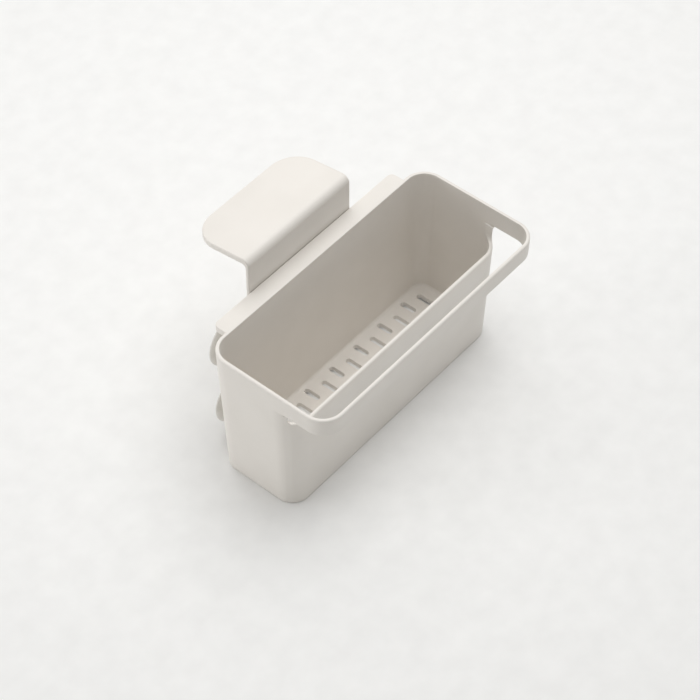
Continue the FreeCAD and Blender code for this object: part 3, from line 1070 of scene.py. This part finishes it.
@dataclass
class CupBoss:
    """Boss on the back wall that holds a cup's head: a wide slot behind a narrow one, open at the foot.

    Attributes:
        trough: Walls that carry it.
        half_width: Half of its width, and the radius of its round top.
        tail: How far it reaches below the cup's axis.
        depth: How far it stands off the wall.
        plate: Thickness of its face.
        neck: Half of the narrow slot's width.
        head: Half of the wide slot's width.
        head_depth: Depth of the wide slot.
        root: How far it reaches into the wall.
        edge: Rounding of its edges.
        top_steps: Points over its round top.
    """

    trough: Trough
    half_width: float = 0.0085
    tail: float = 0.0090
    depth: float = 0.0056
    plate: float = 0.0020
    neck: float = 0.0032
    head: float = 0.0052
    head_depth: float = 0.0026
    root: float = 0.0012
    edge: float = 0.0004
    top_steps: int = 17

    def shell(self, x: float, z: float) -> Surface:
        """Boss round a cup's axis.

        A profile of distance from the axis and height off the wall is carried up one side, over the
        half circle at the top and down the other side. Its foot is closed by five faces each side.

        Args:
            x: X of the cup's axis.
            z: Height of the cup's axis.

        Returns:
            The closed surface.
        """
        back = self.depth - self.plate
        seat = back - self.head_depth
        profile = np.array([
            (0, seat), (self.head, seat), (self.head, back), (self.neck, back),
            (self.neck, self.depth), (self.head, self.depth), (self.half_width, self.depth),
            (self.half_width, back), (self.half_width, seat), (self.half_width, -self.root),
            (self.head, -self.root), (0, -self.root),
        ])
        turn = np.linspace(HALF_TURN, 0, self.top_steps)
        angle = np.concatenate([[HALF_TURN], turn, [0]])[:, None]
        drop = np.concatenate([[-self.tail], np.zeros(len(turn)), [-self.tail]])[:, None]
        away = profile[:, 0]
        y = self.trough.back_face(z) + profile[:, 1]
        sides = Surface.grid(placed(x + away * np.cos(angle), y, z + drop + away * np.sin(angle)))
        foot = np.array(BOSS_FOOT)
        last = len(sides.points) - len(profile)
        return Surface(sides.points, np.concatenate([sides.faces, foot, foot + last]), sides.rounding)

    def build(self, plastic: bpy.types.Material) -> None:
        """Make the four bosses as one piece, each round the axis of its packed cup, and dress it.

        Args:
            plastic: Material.
        """
        axes = [cup_axis(row, hand) for row in Row for hand in Hand]
        piece = Surface.join(*[self.shell(x, z) for x, z in axes]).make("basket_cup_bosses")
        round_over(piece, self.edge, segments=2)
        dress(piece, plastic, Body.BASKET, "basket")


@dataclass
class HangerHook:
    """Hook that slides on the ledge: a lip and a foot round its edge, a plate, a bend and a tongue.

    Attributes:
        ledge: Ledge that it slides on.
        half_width: Half of its width.
        plate: Thickness of its upright plate.
        rise: Height of the tongue's front corner over the rim.
        reach: Length of the tongue from the plate's front.
        fall: How far the tongue slopes down to its back.
        tongue: Thickness of the tongue.
        corner: Radius of the tongue's back corners.
        bend: Outer radius of the bend.
        throat: Radius in the throat.
        foot: Thickness of the foot.
        foot_round: Radius under the plate.
        lip: Thickness of the lip.
        clearance: Gap to the ledge.
        edge: Rounding of its edges.
        bend_steps: Points round the bend and round the throat.
        foot_steps: Points round the foot.
        plate_steps: Points up the plate.
        tongue_steps: Points along the tongue to where its corners start.
        column_steps: Points along half of the tongue's straight back.
        corner_steps: Steps to the middle of a corner.
    """

    ledge: HookLedge
    half_width: float = 0.0490
    plate: float = 0.0027
    rise: float = 0.0283
    reach: float = 0.0498
    fall: float = 0.0067
    tongue: float = 0.0050
    corner: float = 0.0200
    bend: float = 0.0055
    throat: float = 0.0025
    foot: float = 0.0022
    foot_round: float = 0.0020
    lip: float = 0.0020
    clearance: float = 0.0003
    edge: float = 0.0009
    bend_steps: int = 13
    foot_steps: int = 7
    plate_steps: int = 6
    tongue_steps: int = 6
    column_steps: int = 8
    corner_steps: int = 7

    def profile(self) -> tuple[np.ndarray, np.ndarray]:
        """Section of the hook from the lip up to where the tongue starts.

        The section is a strip between two lines with one point each to a row: the front line runs down
        the lip's back, along the foot, up the plate's front and round the bend, and the back line runs
        down the lip's front, under the foot, up the plate's back and round the throat. Both bends turn
        from the upright plate to the tongue's slope.

        Returns:
            Y and Z of the front line and of the back line.
        """
        trough = self.ledge.trough
        ledge_back = trough.back_face(trough.rim) + self.ledge.depth
        front = ledge_back + self.clearance
        back = front + self.plate
        lip_back = ledge_back - self.ledge.skirt - self.clearance
        lip_front = lip_back - self.lip
        lip_top = trough.rim - self.ledge.thickness - self.clearance
        foot_top = trough.rim - self.ledge.drop - self.clearance
        foot_under = foot_top - self.foot
        slope = self.fall / self.reach
        length = math.hypot(1, slope)
        top = trough.rim + self.rise
        bend_start = top - self.bend * (slope + length)
        throat_top = top - self.plate * slope - self.tongue
        throat_start = throat_top - self.throat * (slope + length)

        turn = np.linspace(HALF_TURN, math.atan2(1, slope), self.bend_steps)
        low_turn = np.linspace(-QUARTER_TURN, 0, self.foot_steps)
        shares = np.linspace(0, 1, self.plate_steps)[1:-1]
        plate_foot = foot_under + self.foot_round
        front_rise = np.linspace(foot_top, foot_top + 2 * self.foot_round, len(low_turn))
        front_up = front_rise[-1] + shares * (bend_start - front_rise[-1])
        back_up = plate_foot + shares * (throat_start - plate_foot)
        front_y = np.concatenate([
            [lip_back, lip_back], np.full(len(low_turn) + len(shares), front),
            front + self.bend + self.bend * np.cos(turn),
        ])
        front_z = np.concatenate([
            [lip_top, foot_top], front_rise, front_up, bend_start + self.bend * np.sin(turn),
        ])
        back_y = np.concatenate([
            [lip_front, lip_front], back - self.foot_round + self.foot_round * np.cos(low_turn),
            np.full(len(shares), back), back + self.throat + self.throat * np.cos(turn),
        ])
        back_z = np.concatenate([
            [lip_top, foot_under], plate_foot + self.foot_round * np.sin(low_turn), back_up,
            throat_start + self.throat * np.sin(turn),
        ])
        return np.stack([front_y, front_z], axis=-1), np.stack([back_y, back_z], axis=-1)

    def shell(self, x: float) -> Surface:
        """Section carried across the width, with the tongue's plan of a tab with round corners.

        Args:
            x: X of the hook's middle.

        Returns:
            The closed surface.
        """
        front, back = self.profile()
        trough = self.ledge.trough
        start = trough.back_face(trough.rim) + self.ledge.depth + self.clearance
        tab = Tab(self.half_width, front[-1, 0], start + self.reach, self.corner)
        beside = tab.corner_rows(self.corner_steps)
        rows = np.concatenate([np.linspace(tab.front, beside[0], self.tongue_steps)[1:-1], beside])
        columns = tab.columns(self.column_steps, self.corner_steps)
        tongue_x, tongue_y = tab.plan(columns, rows)
        tongue_z = trough.rim + self.rise - self.fall / self.reach * (tongue_y - start)
        sides = []
        for line, drop in ((front, 0), (back, self.tongue)):
            y = np.concatenate([np.repeat(line[:, :1], len(columns), axis=1), tongue_y])
            z = np.concatenate([np.repeat(line[:, 1:], len(columns), axis=1), tongue_z - drop])
            plate_x = np.repeat(self.half_width * columns[None], len(line), axis=0)
            sides.append(placed(x + np.concatenate([plate_x, tongue_x]), y, z))
        return slab(*sides)

    def build(self, plastic: bpy.types.Material) -> None:
        """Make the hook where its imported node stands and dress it.

        Args:
            plastic: Material.
        """
        low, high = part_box("hanger_hook")
        piece = self.shell((low.x + high.x) / 2).make("hanger_hook_moulding")
        round_over(piece, self.edge)
        dress(piece, plastic, Body.HOOK, "hanger_hook")


def cup_node(row: Row, hand: Hand) -> str:
    """Name of a cup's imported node."""
    return f"suction_cup_{row.value}_{hand.value}"


def cup_axis(row: Row, hand: Hand) -> tuple[float, float]:
    """X and Z of a packed cup's axis."""
    low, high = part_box(cup_node(row, hand))
    return (low.x + high.x) / 2, (low.z + high.z) / 2


def arc(start: Pair, end: Pair, radius: float, steps: int) -> np.ndarray:
    """Points on a circle of a signed radius from start to end, positive turning left.

    The centre lies off the chord's middle, square to it, by the root of the radius squared less half
    of the chord squared.

    Args:
        start: First point.
        end: Last point.
        radius: Radius, negative for an arc that turns right.
        steps: Number of points.

    Returns:
        The points.
    """
    first, last = np.array(start), np.array(end)
    chord = last - first
    length = np.hypot(*chord)
    left = np.array([-chord[1], chord[0]]) / length
    centre = (first + last) / 2 + math.copysign(math.sqrt(radius ** 2 - length ** 2 / 4), radius) * left
    turn = 2 * math.asin(length / 2 / abs(radius)) * math.copysign(1, radius)
    angle = np.linspace(0, turn, steps)
    spoke = first - centre
    x = spoke[0] * np.cos(angle) - spoke[1] * np.sin(angle)
    y = spoke[0] * np.sin(angle) + spoke[1] * np.cos(angle)
    return centre + np.stack([x, y], axis=-1)


@dataclass
class SuctionCup:
    """Suction cup: a button head in its boss, a neck, a hub and a thin bell with a hollow.

    Attributes:
        head: Radius of the head.
        head_thickness: Thickness of the head.
        neck: Radius of the neck.
        shoulder: Distance from the head's end to the hub.
        hub: Radius of the hub.
        hub_height: Height of the hub.
        bell: Radius of the bell's curve.
        lip: Radius of the lip.
        lip_edge: Thickness of the lip.
        hollow: Depth of the hollow.
        length: Whole length along the axis.
        edge: Rounding of the edges.
        steps: Steps round the axis.
        curve_steps: Points along the bell and along the hollow.
    """

    head: float = 0.0050
    head_thickness: float = 0.0022
    neck: float = 0.0030
    shoulder: float = 0.0046
    hub: float = 0.0070
    hub_height: float = 0.0016
    bell: float = 0.0260
    lip: float = 0.0210
    lip_edge: float = 0.0008
    hollow: float = 0.0052
    length: float = 0.0143
    edge: float = 0.00025
    steps: int = 96
    curve_steps: int = 14

    def shell(self, x: float, head_end: float, z: float) -> Surface:
        """Profile of distance from the axis and place along it, turned round the axis.

        Args:
            x: X of the axis.
            head_end: Y of the head's end.
            z: Height of the axis.

        Returns:
            The closed surface.
        """
        hub_top = self.shoulder + self.hub_height
        rim = self.length - self.lip_edge
        inside = self.lip - self.lip_edge
        dome = (inside ** 2 + self.hollow ** 2) / (2 * self.hollow)
        stem = np.array([
            (0, 0), (self.head, 0), (self.head, self.head_thickness), (self.neck, self.head_thickness),
            (self.neck, self.shoulder), (self.hub, self.shoulder),
        ])
        bell = arc((self.hub, hub_top), (self.lip, rim), self.bell, self.curve_steps)
        hollow = arc((inside, self.length), (0, self.length - self.hollow), -dome, self.curve_steps)
        profile = np.concatenate([stem, bell, [(self.lip, self.length)], hollow])
        angle = np.linspace(0, 2 * HALF_TURN, self.steps, endpoint=False)
        away = profile[:, :1]
        y = head_end + profile[:, 1:]
        return Surface.grid(placed(x + away * np.cos(angle), y, z + away * np.sin(angle)), ring=True)

    def build(self, vinyl: bpy.types.Material) -> None:
        """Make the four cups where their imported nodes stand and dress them.

        Args:
            vinyl: Material.
        """
        for row in Row:
            for hand in Hand:
                node = cup_node(row, hand)
                x, z = cup_axis(row, hand)
                piece = self.shell(x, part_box(node)[0].y, z).make(f"cup_{row.value}_{hand.value}")
                round_over(piece, self.edge, segments=2)
                dress(piece, vinyl, Body.BASKET, node)


@dataclass
class Studio:
    """Pale floor, soft light and the photograph's view.

    Attributes:
        floor_reach: Half of the floor's width.
        camera_place: Place of the camera.
        camera_aim: Direction in which it looks.
        lens: Focal length in millimetres.
        sensor: Width of the picture at that focal length, in millimetres.
        ambient: Strength of the even light all round.
        ambient_colour: Colour of the even light.
        key_place: Place of the main lamp.
        key_power: Power of the main lamp in watts.
        key_size: Width and depth of the main lamp.
        side_place: Place of the low lamp that lights the left end.
        side_power: Power of that lamp in watts.
        side_size: Width and depth of that lamp.
        under_place: Place of the lamp that lights the ground seen through the drain slots.
        under_power: Power of the lamp under the floor in watts.
        under_size: Width and depth of the lamp under the floor.
    """

    floor_reach: float = 6.0
    camera_place: Place = (-0.7667, -0.6522, 1.1956)
    camera_aim: Place = (0.5007, 0.4202, -0.7567)
    lens: float = 120.33
    sensor: float = 36.0
    ambient: float = 0.37
    ambient_colour: Colour = (1.0, 0.99, 0.97)
    key_place: Place = (0.28, 0.20, 1.38)
    key_power: float = 15.9
    key_size: Pair = (1.4, 1.4)
    side_place: Place = (-1.05, 1.05, 0.25)
    side_power: float = 5.3
    side_size: Pair = (0.6, 0.4)
    under_place: Place = (0.0, -0.0168, 0.0016)
    under_power: float = 0.0065
    under_size: Pair = (0.18, 0.05)

    def floor(self) -> None:
        """Lay the floor at the height that the caddy stands on."""
        ends = np.array([-self.floor_reach, self.floor_reach])
        piece = Surface.grid(placed(ends, ends[:, None], 0.0)).make("floor")
        piece.data.materials.append(PalePaper().material())

    def lamp(self, name: str, place: Place, aim: Vector, power: float, size: Pair) -> None:
        """Hang a flat lamp.

        Args:
            name: Name of the lamp.
            place: Its middle.
            aim: Direction that it shines in.
            power: Power in watts.
            size: Width and depth.
        """
        lamp = bpy.data.lights.new(name, "AREA")
        lamp.energy = power
        lamp.shape = "RECTANGLE"
        lamp.size, lamp.size_y = size
        holder = bpy.data.objects.new(name, lamp)
        holder.location = place
        holder.rotation_mode = "QUATERNION"
        holder.rotation_quaternion = aim.to_track_quat("-Z", "Y")
        bpy.context.scene.collection.objects.link(holder)

    def lights(self) -> None:
        """Hang lamps over the caddy, beside it and under its floor, and set the even light."""
        self.lamp("key", self.key_place, -Vector(self.key_place), self.key_power, self.key_size)
        self.lamp("side", self.side_place, -Vector(self.side_place), self.side_power, self.side_size)
        self.lamp("under", self.under_place, DOWN, self.under_power, self.under_size)
        world = bpy.data.worlds.new("studio")
        bpy.context.scene.world = world
        nodes = Nodes(world)
        colour = (*self.ambient_colour, 1)
        light = nodes.add("ShaderNodeBackground", Color=colour, Strength=self.ambient)
        output = nodes.add("ShaderNodeOutputWorld")
        nodes.tree.links.new(light.outputs[0], output.inputs["Surface"])

    def camera(self) -> None:
        """Set the camera at the photograph's viewing angle and show colours plainly."""
        lens = bpy.data.cameras.new("camera")
        lens.lens = self.lens
        lens.sensor_width = self.sensor
        holder = bpy.data.objects.new("camera", lens)
        holder.location = self.camera_place
        holder.rotation_mode = "QUATERNION"
        holder.rotation_quaternion = Vector(self.camera_aim).to_track_quat("-Z", "Y")
        bpy.context.scene.collection.objects.link(holder)
        bpy.context.scene.camera = holder
        bpy.context.scene.view_settings.view_transform = "Standard"

    def build(self) -> None:
        """Set up the floor, the lights and the camera."""
        self.floor()
        self.lights()
        self.camera()


def write_sizes() -> None:
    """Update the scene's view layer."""
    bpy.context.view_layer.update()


def main() -> None:
    """Build the studio, then each sub-assembly."""
    Studio().build()
    plastic = MouldedPlastic().material()
    trough = Trough()
    ledge = HookLedge(trough)
    for part in (trough, DrainFloor(trough), ledge, CupBoss(trough), HangerHook(ledge)):
        part.build(plastic)
    SuctionCup().build(SoftVinyl().material())
    write_sizes()


if __name__ == "__main__":
    main()
